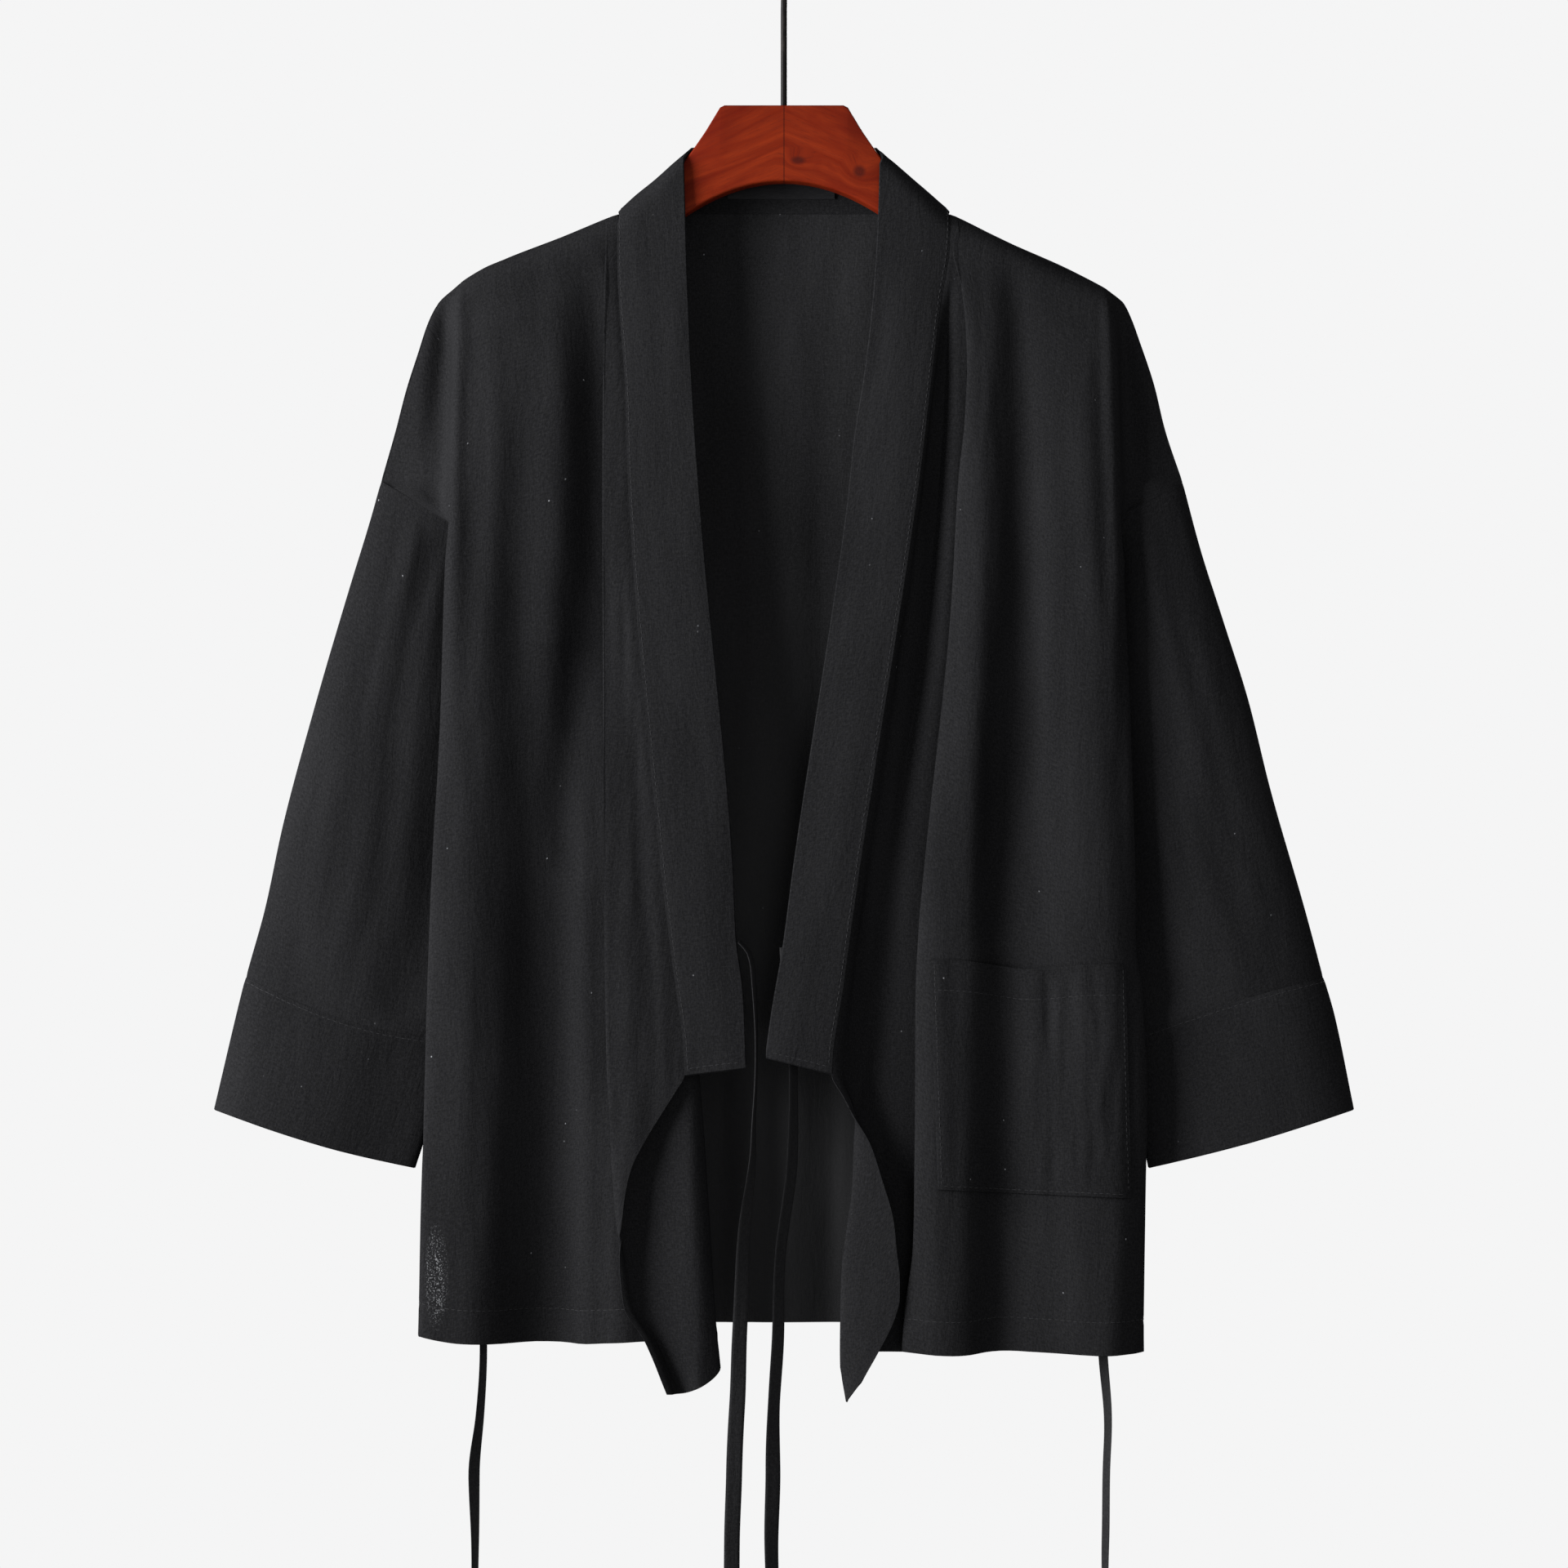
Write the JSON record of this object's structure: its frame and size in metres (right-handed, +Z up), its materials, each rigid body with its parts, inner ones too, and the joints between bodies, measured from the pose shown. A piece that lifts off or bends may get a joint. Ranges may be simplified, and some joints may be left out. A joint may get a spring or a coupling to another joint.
{
  "type": "kimono jacket on a wooden hanger",
  "caption": "Open-front kimono jacket with a collar band, wide cuffed sleeves, a patch pocket and loose ties, hung flat on a wooden hanger with a wire hook",
  "frame": {"origin": "the inside top of the hook, where it rests on a rail", "axes": "+Z up, +Y from the front of the jacket to its back, +X to the right as seen from the front"},
  "size_m": [0.7682, 0.0688, 1.2216],
  "materials": {
    "cloth": "matte black plain weave of cotton and linen with fine slubs",
    "tape": "matte black tape sewn from the same cloth",
    "label": "bare black satin label",
    "wood": "glossy red-brown lacquer over plain grain",
    "steel": "black enamel, glossy"
  },
  "bodies": {
    "root": {"front_left": "cloth", "front_right": "cloth", "back": "cloth", "sleeve_left": "cloth", "sleeve_right": "cloth", "cuff_left": "cloth", "cuff_right": "cloth", "collar_band": "cloth", "pocket": "cloth", "neck_label": "label", "tie_band_left": "tape", "tie_band_right": "tape", "tie_side_left": "tape", "tie_side_right": "tape", "hanger_left": "wood", "hanger_right": "wood", "hook": "steel"}
  },
  "joints": []
}
